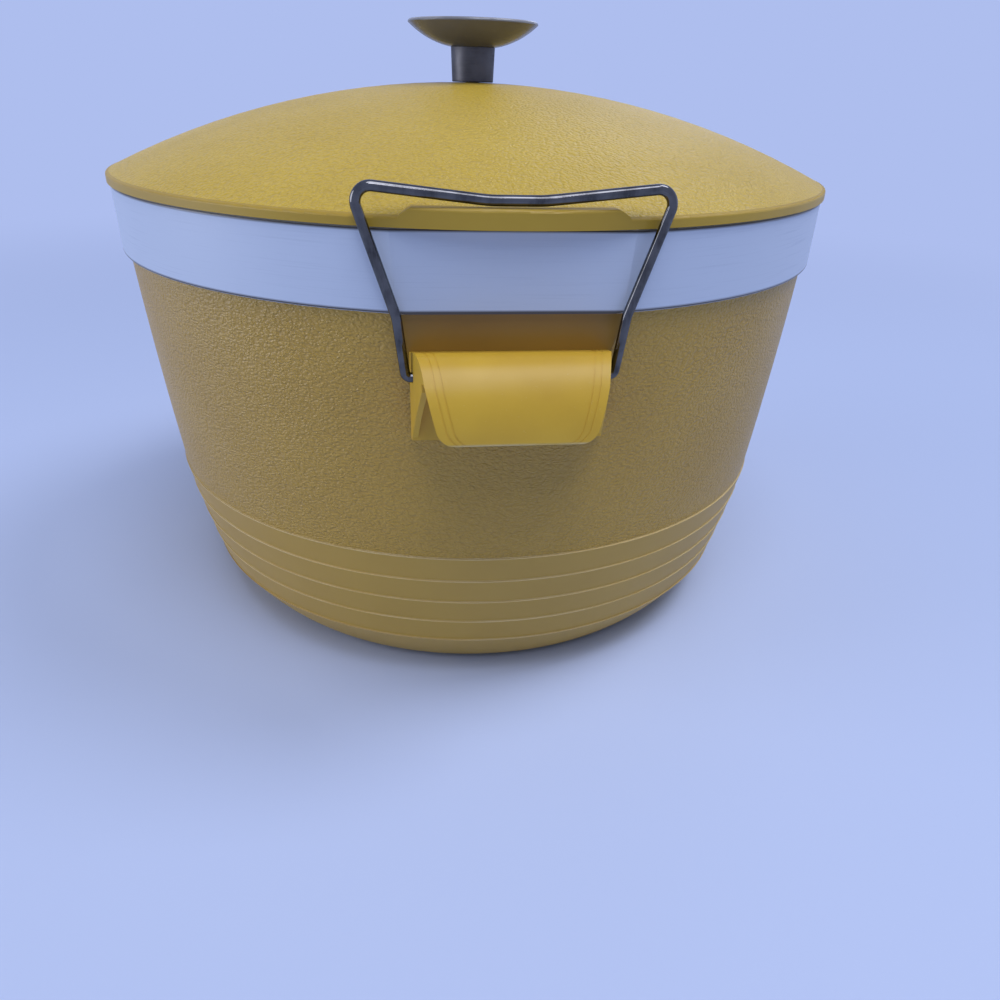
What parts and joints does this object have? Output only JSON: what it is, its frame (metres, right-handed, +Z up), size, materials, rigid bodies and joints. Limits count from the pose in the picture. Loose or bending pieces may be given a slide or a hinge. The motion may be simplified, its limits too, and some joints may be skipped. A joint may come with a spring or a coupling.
{
  "type": "insulated serving dish",
  "caption": "Round insulated serving dish with a domed lift-off lid, a dished knob, a ringed foot, a white liner and wire bails that swing up from finger handles to clamp the lid.",
  "frame": {"origin": "centre of the foot ring, on the surface that the dish stands on", "axes": "+Z up along the dish's axis, the two latches face -Y (front) and +Y (rear), +X to the right seen from the front"},
  "size_m": [0.2624, 0.2932, 0.213],
  "materials": {
    "grained_shell": "satin",
    "smooth_trim": "gloss",
    "knob_trim": "gloss",
    "white_liner": "satin",
    "foam": "matte",
    "knob_post": "satin",
    "fastener_steel": "satin",
    "bail_wire": "polished"
  },
  "bodies": {
    "dish": {"outer_shell": "grained_shell", "inner_liner": "white_liner", "body_foam": "foam", "front_handle": "smooth_trim", "rear_handle": "smooth_trim", "handle_screws": "fastener_steel"},
    "lid": {"lid_cover": "grained_shell", "lid_liner": "white_liner", "lid_foam": "foam", "knob_post": "knob_post", "knob_dish": "knob_trim", "knob_screw": "fastener_steel", "knob_washer": "fastener_steel"},
    "front_bail": {"front_bail": "bail_wire"},
    "rear_bail": {"rear_bail": "bail_wire"}
  },
  "joints": [
    {"name": "lid_lift", "type": "slide", "parent": "dish", "child": "lid", "axis": [0, 0, 1], "range_m": [0, 0.12]},
    {"name": "front_bail_swing", "type": "hinge", "parent": "dish", "child": "front_bail", "pos_m": [0, -0.128, 0.1223], "axis": [1, 0, 0], "range_deg": [0, 183]},
    {"name": "rear_bail_swing", "type": "hinge", "parent": "dish", "child": "rear_bail", "pos_m": [0, 0.128, 0.1223], "axis": [-1, 0, 0], "range_deg": [0, 183]}
  ]
}
